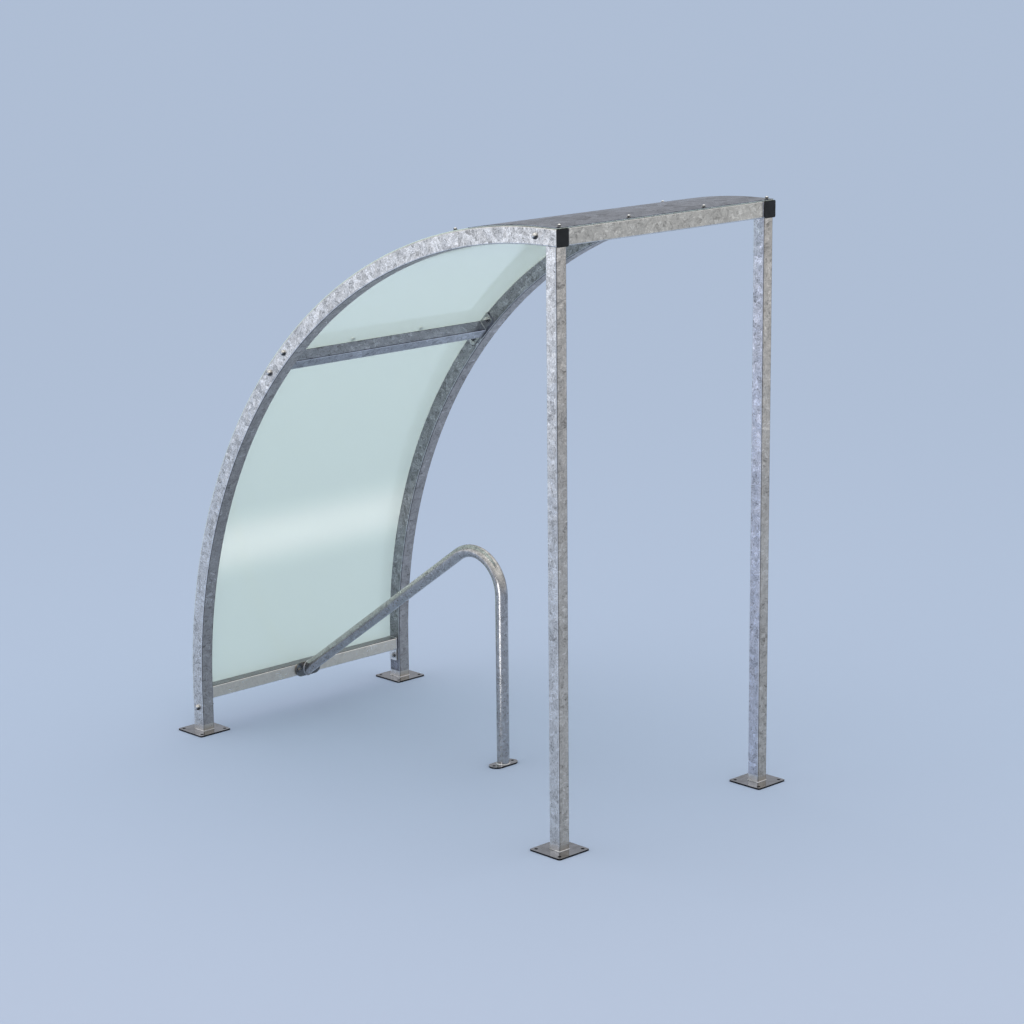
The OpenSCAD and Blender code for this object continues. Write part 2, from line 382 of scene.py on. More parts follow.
    def build(self) -> bpy.types.Material:
        """Build the material.

        Returns:
            The finished material.
        """
        g = Graph(bpy.data.materials.new(self.name))
        place = g.place()
        normal = g.geometry("Normal")
        front = g.math("ABSOLUTE", g.part(normal, "Y"))
        rolled = g.noise(g.place(self.grain.value), 330.0, 3.0, 0.6).outputs["Fac"]
        tone, feather, drawn = self.tone(g, place, front, rolled)
        spread = TONE_SPREAD / self.contrast
        middle = tuple((a + b) / 2.0 for a, b in zip(self.dark, self.light))
        colour = g.ramp(tone, ((TONE_MIDDLE - spread, self.dark), (TONE_MIDDLE, middle),
                               (TONE_MIDDLE + spread, self.light)))
        colour = self.shade_faces(g, colour, place, normal)
        tilt = g.vector("SUBTRACT", g.mix(0.30, feather.outputs["Color"], drawn), MIDDLE)
        amount = g.math("MULTIPLY", g.math("MULTIPLY_ADD", front, -self.calm, 1.0), self.ripple)
        tilted = g.vector("NORMALIZE", g.vector("ADD", normal, g.scaled(tilt, amount)))
        roughness = g.span(tone, self.rough[1], self.rough[0], 0.35, 0.70)
        return g.coat(colour, roughness, g.bump(rolled, 0.22, 0.0008, tilted), metal=1.0)


@dataclass(frozen=True)
class SmoothZinc:
    """Smooth zinc on plates and hardware: near mirror, faint haze, edges softened by wear.

    Upright sides can be darkened with painted shade, and so can the faces that look one given way.
    """

    name: str
    tone: tuple[float, float, float]
    haze: tuple[float, float] = (0.10, 0.30)
    edge_radius: float = 0.0016
    grime: float = 0.35
    # The side shade and shade way below paint shade into the colour.
    painted_side_shade: float = 1.0
    painted_shade_way: tuple[float, float, float] | None = None
    painted_shade_tone: float = 0.12

    def build(self) -> bpy.types.Material:
        """Build the material.

        Returns:
            The finished material.
        """
        g = Graph(bpy.data.materials.new(self.name))
        place = g.place()
        cloud = g.noise(place, 18.0, 4.0, 0.6, 0.8).outputs["Fac"]
        speck = g.noise(place, 420.0, 2.0, 0.5).outputs["Fac"]
        dull = tuple(v * (1.0 - self.grime) for v in self.tone)
        fresh = tuple(min(1.0, v * 1.08) for v in self.tone)
        mottle = g.math("MULTIPLY_ADD", speck, 0.25, g.math("MULTIPLY", cloud, 0.75))
        colour = g.ramp(mottle, ((0.36, dull), (0.55, self.tone), (0.72, fresh)))
        normal = g.geometry("Normal")
        # Painted shade: upright sides are darker.
        if self.painted_side_shade < 1.0:
            level = g.math("ABSOLUTE", g.part(normal, "Z"))
            colour = g.mix(1.0, colour, g.span(level, self.painted_side_shade, 1.0, 0.2, 0.6), "MULTIPLY")
        # Painted shade: faces that look the given way are darker.
        if self.painted_shade_way is not None:
            along = g.dot(normal, self.painted_shade_way)
            colour = g.mix(1.0, colour, g.span(along, 1.0, self.painted_shade_tone, 0.15, 0.55), "MULTIPLY")
        roughness = g.span(cloud, self.haze[1], self.haze[0], 0.3, 0.7)
        soft = g.bump(cloud, 0.25, 0.0006, g.rounded(self.edge_radius))
        return g.coat(colour, roughness, soft, metal=1.0)


@dataclass(frozen=True)
class ClearSheet:
    """Clear plastic sheet with a faint green body, polished faces and settled haze."""

    name: str
    body: tuple[float, float, float] = (0.92, 1.0, 0.92)
    # The band tint and the band haze paint a soft level band of light across the sheet.
    painted_light_band_tint: tuple[float, float, float] = (0.96, 1.0, 0.94)
    clear: tuple[float, float, float, float] = (0.97, 1.0, 0.985, 1.0)
    veil: float = 0.53
    painted_light_band_haze: float = 0.10
    cloud_haze: float = 0.04
    cut_haze: float = 0.9
    band_height: float = 0.745
    band_width: float = 0.18
    bend: float = 1.55
    centre: tuple[float, float, float] = (0.0, -0.970, 0.180)

    def build(self) -> bpy.types.Material:
        """Build the material.

        The body lets light through and scatters some of it. A soft level band is painted light: there the
        haze is thicker and the tint paler, so the sheet looks brighter. The haze is also thick on the sawn
        edges, whose normal does not point along the spokes of the bend.

        Returns:
            The finished material.
        """
        g = Graph(bpy.data.materials.new(self.name))
        place = g.place()
        # Painted light: a soft level band where the sheet is hazier and paler.
        off = g.math("ABSOLUTE", g.math("SUBTRACT", g.part(place, "Z"), self.band_height))
        band = g.span(off, 1.0, 0.0, 0.0, self.band_width)
        cloud = g.noise(g.place((0.35, 1.0, 1.0)), 1.6, 2.0, 0.4).outputs["Fac"]
        dust = g.noise(place, 900.0, 2.0, 0.6).outputs["Fac"]
        haze = g.math("MULTIPLY_ADD", band, self.painted_light_band_haze, self.veil - self.cloud_haze / 2.0)
        haze = g.math("MULTIPLY_ADD", cloud, self.cloud_haze, haze)
        tint = g.ramp(band, ((0.0, self.body), (1.0, self.painted_light_band_tint)))
        spoke = g.vector("MULTIPLY", g.vector("SUBTRACT", place, self.centre), (0.0, 1.0, 1.0))
        flat = g.math("ABSOLUTE", g.dot(g.vector("NORMALIZE", spoke), g.geometry("Normal")))
        cut = g.span(flat, 1.0, 0.0, 0.45, 0.75)
        haze = g.math("MAXIMUM", haze, g.math("MULTIPLY", cut, self.cut_haze))
        roughness = g.span(dust, 0.05, 0.09, 0.3, 0.8)
        wavy = g.bump(g.noise(place, 3.0, 1.0).outputs["Fac"], 0.03, 0.002)
        body = g.add("BsdfDiffuse", {"Color": tint})
        through = g.add("BsdfTranslucent", {"Color": tint})
        scattered = g.add("MixShader", {0: 0.5, 1: body.outputs[0], 2: through.outputs[0]})
        clear = g.add("BsdfTransparent", {"Color": self.clear})
        mixed = g.add("MixShader", {0: haze, 1: clear.outputs[0], 2: scattered.outputs[0]})
        gloss = g.add("BsdfGlossy", {"Color": (1.0, 1.0, 1.0, 1.0), "Roughness": roughness,
                                     "Normal": wavy})
        mirror = g.add("Fresnel", {"IOR": self.bend, "Normal": wavy}).outputs[0]
        outer = g.math("SUBTRACT", 1.0, g.geometry("Backfacing"))
        shader = g.add("MixShader", {0: g.math("MULTIPLY", mirror, outer), 1: mixed.outputs[0],
                                     2: gloss.outputs[0]})
        return g.finish(shader.outputs[0])


@dataclass(frozen=True)
class MouldedPlastic:
    """Black moulded plastic or rubber with a fine grain and edges paled by wear."""

    name: str
    tone: tuple[float, float, float] = (0.008, 0.008, 0.0075)
    wear_and_painted_corner_shade: tuple[float, float, float] = (0.05, 0.05, 0.048)
    grain: float = 1500.0
    edge_radius: float = 0.0015

    def build(self) -> bpy.types.Material:
        """Build the material.

        Returns:
            The finished material.
        """
        g = Graph(bpy.data.materials.new(self.name))
        place = g.place()
        pebble = g.add("TexVoronoi", {"Vector": place, "Scale": self.grain}).outputs["Distance"]
        cloud = g.noise(place, 40.0, 3.0).outputs["Fac"]
        rounded = g.rounded(self.edge_radius)
        match = g.dot(rounded, g.geometry("Normal"))
        wear = g.math("MULTIPLY", g.span(match, 1.0, 0.0, 0.80, 0.99), cloud)
        colour = g.mix(wear, (*self.tone, 1.0), (*self.wear_and_painted_corner_shade, 1.0))
        grained = g.bump(pebble, 0.35, 0.0003, rounded)
        return g.coat(colour, g.span(cloud, 0.38, 0.56, 0.3, 0.7), grained, shine=0.3)


@dataclass(frozen=True)
class StudioFloor:
    """Matt pale floor with painted light: a shade lighter towards the front."""

    name: str = "studio_floor"
    far: tuple[float, float, float] = (0.412, 0.493, 0.648)
    near: tuple[float, float, float] = (0.445, 0.515, 0.665)

    def build(self) -> bpy.types.Material:
        """Build the material.

        Returns:
            The finished material.
        """
        g = Graph(bpy.data.materials.new(self.name))
        place = g.place()
        forward = g.dot(place, (0.69, 0.72, 0.0))
        cloud = g.noise(place, 0.5, 2.0).outputs["Fac"]
        # Painted light: the floor grows lighter towards the front, with a cloudy edge.
        rise = g.math("MULTIPLY_ADD", g.math("SUBTRACT", cloud, 0.5), 0.8, forward)
        colour = g.mix(g.span(rise, 1.0, 0.0, -3.0, 0.4), (*self.far, 1.0), (*self.near, 1.0))
        grit = g.noise(place, 300.0, 2.0).outputs["Fac"]
        return g.coat(colour, 0.9, g.bump(grit, 0.02, 0.0005), shine=0.0)


class Finish(Enum):
    """The finishes of the shelter, each built once and shared."""

    # The front light, inner shade, shade way and side shade set below paint light and shade, not colours
    # of the zinc.
    FRAME = Galvanised("zinc_frame", (0.32, 0.31, 0.30), (1.0, 0.97, 0.94), Grain.NONE, stroke=180.0,
                       contrast=1.5, ripple=0.20, painted_inner_shade=0.45, painted_shade_way=(0.0, -0.85, -0.53),
                       painted_shade_tone=(0.62, 0.595, 0.58))
    POST = Galvanised("zinc_post", (0.31, 0.30, 0.29), (1.0, 0.97, 0.94), Grain.Z, stroke=180.0,
                      contrast=1.3, ripple=0.20, painted_front_light=1.0, painted_front_light_tone=(0.85, 0.79, 0.70), calm=0.3,
                      painted_inner_shade=0.96)
    BEAM = Galvanised("zinc_beam", (0.44, 0.43, 0.42), (0.94, 0.93, 0.91), Grain.Z, ripple=0.12,
                      contrast=1.4, corner=(0.0, 1.0, 0.0), painted_front_light=1.0, calm=0.3)
    PURLIN = Galvanised("zinc_purlin", (0.15, 0.152, 0.158), (0.64, 0.64, 0.65), Grain.X, contrast=1.3,
                        corner=(0.0, 0.717, 0.697), painted_shade_way=(0.0, -0.697, 0.717),
                        painted_shade_tone=(0.60, 0.61, 0.74))
    RAIL = Galvanised("zinc_rail", (0.60, 0.58, 0.56), (1.0, 0.98, 0.96), Grain.X,
                      corner=(0.0, 1.0, 0.0), painted_front_light=1.0, painted_front_light_tone=(0.92, 0.855, 0.74),
                      painted_shade_way=(0.0, 0.0, 1.0), painted_shade_tone=(0.28, 0.29, 0.33))
    COVER = Galvanised("zinc_cover", (0.030, 0.034, 0.052), (0.245, 0.262, 0.325), Grain.X, spangle=24.0,
                       stroke=85.0, ripple=0.15, contrast=1.3, rough=(0.22, 0.36), corner=None, calm=0.0)
    HOOP = Galvanised("zinc_hoop", (0.17, 0.167, 0.165), (0.72, 0.70, 0.685), Grain.NONE, spangle=80.0,
                      stroke=220.0, ripple=0.10, rough=(0.18, 0.30), corner=None, calm=0.0)
    STUB = Galvanised("zinc_stub", (0.62, 0.61, 0.60), (1.0, 0.99, 0.98), Grain.Z, contrast=0.9,
                      painted_front_light=0.9)
    PLATE = SmoothZinc("zinc_plate", (0.235, 0.24, 0.27), (0.04, 0.14), painted_side_shade=0.10)
    LUG = SmoothZinc("zinc_lug", (0.22, 0.215, 0.21), (0.16, 0.30), 0.0010, 0.45)
    BRIGHT = SmoothZinc("zinc_bolt", (0.66, 0.65, 0.64), (0.08, 0.20), 0.0006, 0.25,
                        painted_shade_way=(0.0, -0.66, -0.75))
    SCREW = SmoothZinc("zinc_screw", (0.85, 0.84, 0.83), (0.08, 0.20), 0.0004, 0.25, painted_side_shade=0.14)
    WELD = SmoothZinc("zinc_weld", (0.58, 0.58, 0.60), (0.24, 0.44), 0.0005, 0.45)
    SHEET = ClearSheet("clear_sheet_green")
    CAP = MouldedPlastic("black_cap")
    RUBBER = MouldedPlastic("black_rubber", (0.015, 0.015, 0.015), (0.03, 0.03, 0.03), 900.0)
    FLOOR = StudioFloor()

    def material(self) -> bpy.types.Material:
        """Return this finish's material, built the first time it is asked for."""
        known = bpy.data.materials.get(self.value.name)
        return known if known is not None else self.value.build()


# ------------------------------------------------------------------ surfaces


@dataclass
class Surface:
    """Points and faces of a mesh that is put together from several grids."""

    points: list[np.ndarray] = field(default_factory=list)
    faces: list[np.ndarray] = field(default_factory=list)
    tags: list[np.ndarray] = field(default_factory=list)
    count: int = 0

    def grid(self, points: np.ndarray, tag: int = 0, close_u: bool = False) -> None:
        """Add a grid of quads that is closed round v.

        Face (i, j) joins points (i, j), (i, j+1), (i+1, j+1) and (i+1, j), with j + 1
        taken round the loop, so the order of the points gives the side that faces out.

        Args:
            points: array of shape (rows, columns, 3), columns going round the loop.
            tag: material number of these faces.
            close_u: True where the last row joins the first one.
        """
        rows, columns, _ = points.shape
        last = rows if close_u else rows - 1
        i = np.arange(last)[:, None]
        j = np.arange(columns)[None, :]
        step, turn = (i + 1) % rows, (j + 1) % columns
        quads = np.stack([i * columns + j, i * columns + turn, step * columns + turn,
                          step * columns + j], -1)
        self.points.append(points.reshape(-1, 3))
        self.faces.append(quads.reshape(-1, 4) + self.count)
        self.tags.append(np.full(quads.shape[0] * quads.shape[1], tag))
        self.count += rows * columns

    def piece(self, name: str, finishes: Sequence[Finish], sharp: float = 0.6) -> None:
        """Put the surface into a mesh object and register it.

        Points that fall together, such as those at a pole, are merged, and faces that
        lose an edge by it become triangles.

        Args:
            name: name of the piece.
            finishes: one finish for each tag.
            sharp: angle in radians past which an edge stays sharp.
        """
        points = np.concatenate(self.points)
        faces = np.concatenate(self.faces)
        tags = np.concatenate(self.tags)
        _, first, same = np.unique(np.round(points * 1e7).astype(np.int64), axis=0,
                                   return_index=True, return_inverse=True)
        points, faces = points[first], same.reshape(-1)[faces]
        keep = faces != np.roll(faces, 1, axis=1)
        loops = keep.sum(axis=1)
        whole = loops >= 3
        faces, keep, loops, tags = faces[whole], keep[whole], loops[whole], tags[whole]
        corners = faces[keep]
        mesh = bpy.data.meshes.new(name)
        mesh.vertices.add(len(points))
        mesh.vertices.foreach_set("co", points.astype(np.float32).ravel())
        mesh.loops.add(len(corners))
        mesh.loops.foreach_set("vertex_index", corners.astype(np.int32))
        mesh.polygons.add(len(loops))
        starts = np.concatenate([[0], np.cumsum(loops)[:-1]])
        mesh.polygons.foreach_set("loop_start", starts.astype(np.int32))
        for finish in finishes:
            mesh.materials.append(finish.material())
        mesh.update(calc_edges=True)
        mesh.polygons.foreach_set("material_index", tags.astype(np.int32))
        mesh.polygons.foreach_set("use_smooth", np.ones(len(loops), bool))
        mesh.set_sharp_from_angle(angle=sharp)
        mesh.validate()
        made = bpy.data.objects.new(name, mesh)
        bpy.context.scene.collection.objects.link(made)
        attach(made, "root")
        LOG.info("%s: %d points, %d faces", name, len(mesh.vertices), len(mesh.polygons))


def axes_about(direction: Sequence[float]) -> tuple[np.ndarray, np.ndarray, np.ndarray]:
    """Find two unit vectors across a direction.

    Args:
        direction: any vector that isn't zero.

    Returns:
        The two vectors across and the unit vector along, as a right-handed set.
    """
    along = np.asarray(direction, float)
    along = along / np.linalg.norm(along)
    start = np.array([0.0, 0.0, 1.0]) if abs(along[2]) < 0.9 else np.array([1.0, 0.0, 0.0])
    across = np.cross(start, along)
    across /= np.linalg.norm(across)
    return across, np.cross(along, across), along


def turned(centre: Sequence[float], direction: Sequence[float], profile: Sequence[tuple[float, float]],
           around: int = 32, outline: Callable[[np.ndarray], np.ndarray] | None = None,
           turn: float = 0.0) -> np.ndarray:
    """Surface of a profile turned round an axis.

    Point (i, j) lies at the centre, plus height i along the axis, plus radius i times
    the outline at angle j in the plane across the axis. A round outline is 1 all round.

    Args:
        centre: where height 0 lies on the axis.
        direction: the axis, pointing to growing heights.
        profile: pairs of radius and height, from the bottom pole to the top pole.
        around: number of points round the axis.
        outline: radius factor as a function of the angle, or None for a round piece.
        turn: angle by which the outline is turned.

    Returns:
        Array of shape (len(profile), around, 3).
    """
    u, v, w = axes_about(direction)
    angle = np.arange(around) * TAU / around
    factor = np.ones(around) if outline is None else outline(angle)
    radius, height = np.asarray(profile, float).T
    ring = np.cos(angle + turn)[:, None] * u + np.sin(angle + turn)[:, None] * v
    ring = ring * factor[:, None]
    return np.asarray(centre) + height[:, None, None] * w + radius[:, None, None] * ring[None]


def hexagon(angle: np.ndarray) -> np.ndarray:
    """Radius of a hexagon with flats at 1: the secant of the angle from the nearest flat."""
    return 1.0 / np.cos((angle + math.pi / 6.0) % (math.pi / 3.0) - math.pi / 6.0)


def bead(path: np.ndarray, radius: float, ripple: float = 0.14, pitch: float = 0.0035,
         around: int = 10) -> np.ndarray:
    """Weld bead along a closed path.

    A circle is carried along the path in the plane across it. Its radius swells and
    shrinks as a cosine of the length travelled over the pitch, which leaves the rings
    of a hand-laid weld.

    Args:
        path: closed path of shape (n, 3).
        radius: radius of the bead.
        ripple: share of the radius that the rings take.
        pitch: distance between two rings.
        around: points round the bead.

    Returns:
        Array of shape (n, around, 3).
    """
    ahead = np.roll(path, -1, axis=0) - np.roll(path, 1, axis=0)
    ahead /= np.linalg.norm(ahead, axis=1)[:, None]
    middle = path.mean(axis=0)
    out = path - middle
    out -= (out * ahead).sum(axis=1)[:, None] * ahead
    out /= np.linalg.norm(out, axis=1)[:, None]
    up = np.cross(ahead, out)
    step = np.linalg.norm(np.roll(path, -1, axis=0) - path, axis=1)
    length = np.concatenate([[0.0], np.cumsum(step)[:-1]])
    rings = max(1, round(step.sum() / pitch))
    swell = radius * (1.0 + ripple * np.cos(TAU * rings * length / step.sum()))
    angle = -np.arange(around) * TAU / around
    section = (np.cos(angle)[None, :, None] * out[:, None, :]
               + np.sin(angle)[None, :, None] * up[:, None, :])
    return path[:, None, :] + swell[:, None, None] * section


def rounded_loop(width: float, height: float, radius: float, step: float = 0.0009) -> np.ndarray:
    """Closed outline of a rectangle with round corners, as points a step apart.

    Args:
        width: size along the first axis.
        height: size along the second axis.
        radius: corner radius.
        step: distance between points.

    Returns:
        Array of shape (n, 2), going counter-clockwise.
    """
    a, b = width / 2.0 - radius, height / 2.0 - radius
    lengths = np.array([2 * b, radius * math.pi / 2, 2 * a, radius * math.pi / 2] * 2)
    ends = np.cumsum(lengths)
    count = int(round(ends[-1] / step))
    travel = np.arange(count) * ends[-1] / count
    part = np.searchsorted(ends, travel, side="right")
    rest = travel - np.concatenate([[0.0], ends])[part]
    corner = np.array([[a, b], [a, b], [-a, b], [-a, b], [-a, -b], [-a, -b], [a, -b], [a, -b]])[part]
    quarter = (part // 2) * math.pi / 2
    bow = quarter + np.where(part % 2 == 1, rest / radius, 0.0)
    point = corner + radius * np.stack([np.cos(bow), np.sin(bow)], -1)
    heading = np.stack([-np.sin(quarter), np.cos(quarter)], -1)
    straight = np.where(part % 2 == 0, rest - lengths[part], 0.0)
    return point + straight[:, None] * heading


# ------------------------------------------------------------------ the shelter


@dataclass
class Plan:
    """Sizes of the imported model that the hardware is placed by, in metres."""

    frame_x: float = 0.525
    half_frame: float = 0.0275
    flange: float = 0.005
    bend_y: float = -0.970
    bend_z: float = 0.180
    sheet_out: float = 2.0032
    cover_out: float = 2.0049
    purlin_angle: float = math.radians(44.2)
    purlin_radius: float = 1.9747
    post_y: float = -1.0
    post_size: tuple[float, float] = (0.050, 0.050)
    leg_y: float = 1.0
    leg_size: tuple[float, float] = (0.055, 0.060)
    beam_centre: tuple[float, float] = (-1.002, 2.150)
    beam_size: tuple[float, float] = (0.050, 0.060)
    rail_centre: tuple[float, float] = (1.005, 0.153)
    cross_size: tuple[float, float] = (0.050, 0.050)
    tube_corner: float = 0.0045
    plate_top: float = 0.006

    def on_bend(self, angle: float, radius: float, along: float = 0.0) -> np.ndarray:
        """Return Y and Z of a point at an angle and radius on the bend, moved along the tangent."""
        c, s = math.cos(angle), math.sin(angle)
        return np.array([self.bend_y + radius * c - along * s, self.bend_z + radius * s + along * c])


@dataclass
class DomedBolt:
    """A domed bolt: washer and dome outside, washer, nut and bolt end inside."""

    dome: float = 0.0110
    dome_height: float = 0.0095
    washer: float = 0.0122
    washer_thick: float = 0.0018
    nut_flats: float = 0.0085
    nut_height: float = 0.0080
    rim: float = 0.0008
    shank: float = 0.0050
    thread_pitch: float = 0.0014
    shank_end: float = 0.0045

    def washer_rows(self, radius: float) -> list[tuple[float, float]]:
        """Profile of a washer with a small chamfer on its upper rim."""
        t = self.washer_thick
        return [(0.0, 0.0), (radius, 0.0), (radius, 0.7 * t), (radius - 0.3 * t, t), (0.0, t)]

    def head(self, surface: Surface, place: Sequence[float], out: Sequence[float]) -> None:
        """Add a washer and a dome.

        The dome is part of an ellipse: its radius is the cosine and its height the
        sine of an angle that goes from the rim to the top.

        Args:
            surface: the surface that the head is added to.
            place: where the washer lies on the steel.
            out: the way the head points.
        """
        surface.grid(turned(place, out, self.washer_rows(self.washer)))
        lift, rim = self.washer_thick, self.rim
        arc = np.linspace(0.0, math.pi / 2, 9)
        rows = [(0.0, lift), (self.dome * 0.94, lift), (self.dome, lift + rim)]
        rows += [(self.dome * math.cos(a), lift + rim + (self.dome_height - rim) * math.sin(a))
                 for a in arc[1:]]
        surface.grid(turned(place, out, rows))

    def nut(self, surface: Surface, place: Sequence[float], out: Sequence[float], turn: float) -> None:
        """Add a washer, a hexagon nut with chamfered corners, and the bolt end.

        Args:
            surface: the surface that the nut is added to.
            place: where the washer lies on the steel.
            out: the way the bolt end points.
            turn: angle by which the hexagon is turned.
        """
        surface.grid(turned(place, out, self.washer_rows(self.washer)))
        lift, flats, rim = self.washer_thick, self.nut_flats, self.rim
        top = lift + self.nut_height
        rows = [(0.0, lift), (flats * 0.93, lift), (flats, lift + rim), (flats, top - rim),
                (flats * 0.90, top), (0.0, top)]
        surface.grid(turned(place, out, rows, 48, hexagon, turn))
        end = top + self.shank_end
        rows = [(0.0, top), (self.shank, top)]
        for z in np.arange(3) * self.thread_pitch + top:
            rows += [(self.shank, z + 0.0001), (self.shank * 0.86, z + 0.0007), (self.shank, z + 0.0013)]
        rows += [(self.shank * 0.8, end), (0.0, end)]
        surface.grid(turned(place, out, rows, 24))


@dataclass
class FrameBolts:
    """The domed bolts that hold the flanges of the cross members to the side frames."""

    plan: Plan
    bolt: DomedBolt = field(default_factory=DomedBolt)
    beam_place: tuple[float, float] = (-0.929, 2.150)
    rail_place: tuple[float, float] = (1.000, 0.100)
    purlin_reach: float = 0.060

    def places(self) -> list[tuple[float, float]]:
        """Place the four bolts of one side.

        Returns:
            Y and Z of the beam's bolt, of the purlin's two and of the rail's.
        """
        p = self.plan
        pair = [tuple(p.on_bend(p.purlin_angle, p.purlin_radius, s * self.purlin_reach)) for s in (-1, 1)]
        return [self.beam_place, *pair, self.rail_place]

    def build(self) -> None:
        """Build the bolts of each side as one piece."""
        p = self.plan
        for side, name in ((-1, "frame_bolts_left"), (1, "frame_bolts_right")):
            surface = Surface()
            outer = side * (p.frame_x + p.half_frame)
            inner = side * (p.frame_x - p.half_frame - p.flange)
            for number, (y, z) in enumerate(self.places()):
                self.bolt.head(surface, (outer, y, z), (side, 0, 0))
                self.bolt.nut(surface, (inner, y, z), (-side, 0, 0), 0.4 * number)
            surface.piece(name, [Finish.BRIGHT])


@dataclass
class RoofScrews:
    """Hexagon roofing screws with sealing washers along the edges of the sheet."""

    plan: Plan
    washer: float = 0.0088
    seal: float = 0.0078
    head_flats: float = 0.0054
    head_top: float = 0.0105
    front_y: float = -1.016
    crest_angle: float = math.radians(76.8)
    purlin_lift: float = math.radians(0.9)
    front_thirds: tuple[float, ...] = (-0.19, 0.19)
    thirds: tuple[float, ...] = (-0.175, 0.175)
    rail_columns: tuple[float, ...] = (-0.44, -0.175, 0.175, 0.44)

    TOP_TAG: ClassVar[int] = 0
    RUBBER_TAG: ClassVar[int] = 1
    BACK_TAG: ClassVar[int] = 2

    def screw(self, surface: Surface, place: Sequence[float], out: Sequence[float], turn: float,
              metal: int = TOP_TAG) -> None:
        """Add a rubber seal, a dished washer, a hexagon head and its flange.

        Args:
            surface: the surface that the screw is added to.
            place: where the screw meets the sheet.
            out: the way the head points.
            turn: angle by which the hexagon is turned.
            metal: material number of the metal parts.
        """
        s, w, h, top = self.seal, self.washer, self.head_flats, self.head_top
        seal = [(0.0, 0.0), (s, 0.0), (s * 1.04, 0.0007), (s, 0.0014), (0.0, 0.0014)]
        dish = [(0.0, 0.0012), (w, 0.0009), (w, 0.0017), (w * 0.86, 0.0022), (w * 0.62, 0.0026),
                (0.0, 0.0026)]
        flange = [(0.0, 0.0024), (h * 1.35, 0.0024), (h * 1.35, 0.0031), (h * 1.05, 0.0035),
                  (0.0, 0.0035)]
        head = [(0.0, 0.0032), (h, 0.0032), (h, top - 0.0042), (h * 0.93, top - 0.0026),
                (h * 0.72, top - 0.0010), (h * 0.40, top - 0.0002), (0.0, top)]
        surface.grid(turned(place, out, seal, 24), self.RUBBER_TAG)
        surface.grid(turned(place, out, dish, 28), metal)
        surface.grid(turned(place, out, flange, 28), metal)
        surface.grid(turned(place, out, head, 36, hexagon, turn), metal)

    def build(self) -> None:
        """Build the screws over the cover, the purlin and the rail."""
        p = self.plan
        surface = Surface()
        top = p.bend_z + p.cover_out
        turns = iter(np.random.default_rng(7).uniform(0.0, 1.0, 16))
        for x in (-p.frame_x, *self.front_thirds, p.frame_x):
            self.screw(surface, (x, self.front_y, top), (0, 0, 1), next(turns))
        rows = [(self.crest_angle, p.sheet_out, (-p.frame_x, p.frame_x)),
                (p.purlin_angle + self.purlin_lift, p.sheet_out, self.thirds)]
        for angle, radius, columns in rows:
            y, z = p.on_bend(angle, radius)
            for x in columns:
                self.screw(surface, (x, y, z), (0, math.cos(angle), math.sin(angle)), next(turns))
        back = p.bend_y + p.sheet_out
        for x in self.rail_columns:
            self.screw(surface, (x, back, p.rail_centre[1]), (0, 1, 0), next(turns), self.BACK_TAG)
        surface.piece("roof_screws", [Finish.SCREW, Finish.RUBBER, Finish.BRIGHT])


@dataclass
class Hoop:
    """Bolts on the rail plate of the hoop, and the weld beads at both of its plates."""

    plan: Plan
    foot_y: float = -0.175
    tube: float = 0.02415
    rail_plate_y: float = 0.974
    hole_reach: float = 0.048
    slope: float = math.radians(34.85)
    weld: float = 0.0030
    weld_points: int = 170

    def dress(self) -> None:
        """Give the tube and both plates their finishes."""
        dress(("hoop_leg", "hoop_bend_tube", "hoop_slope_tube"), Finish.HOOP)
        dress(("hoop_foot_plate",), Finish.PLATE)
        dress(("hoop_rail_plate",), Finish.LUG)

    def bolts(self) -> None:
        """Build two flat domed bolts on the rail plate."""
        surface = Surface()
        bolt = DomedBolt(dome=0.0095, dome_height=0.0060, washer=0.0110)
        for side in (-1, 1):
            place = (side * self.hole_reach, self.rail_plate_y, self.plan.rail_centre[1])
            bolt.head(surface, place, (0, -1, 0))
        surface.piece("hoop_bolts", [Finish.LUG])

    def welds(self) -> None:
        """Build the bead round the leg and the bead round the slope.

        The leg meets its plate in a circle. The slope is cut upright, so its bead is
        an ellipse that is longer upwards by one over the cosine of the slope.
        """
        surface = Surface()
        angle = np.arange(self.weld_points) * TAU / self.weld_points
        across, along = self.tube * np.cos(angle), self.tube * np.sin(angle)
        level = np.full_like(across, self.plan.plate_top)
        surface.grid(bead(np.stack([across, along + self.foot_y, level], -1), self.weld), close_u=True)
        wall = np.full_like(across, self.rail_plate_y)
        rise = along / math.cos(self.slope) + self.plan.rail_centre[1]
        surface.grid(bead(np.stack([across, wall, rise], -1), self.weld), close_u=True)
        surface.piece("hoop_welds", [Finish.WELD], 2.0)


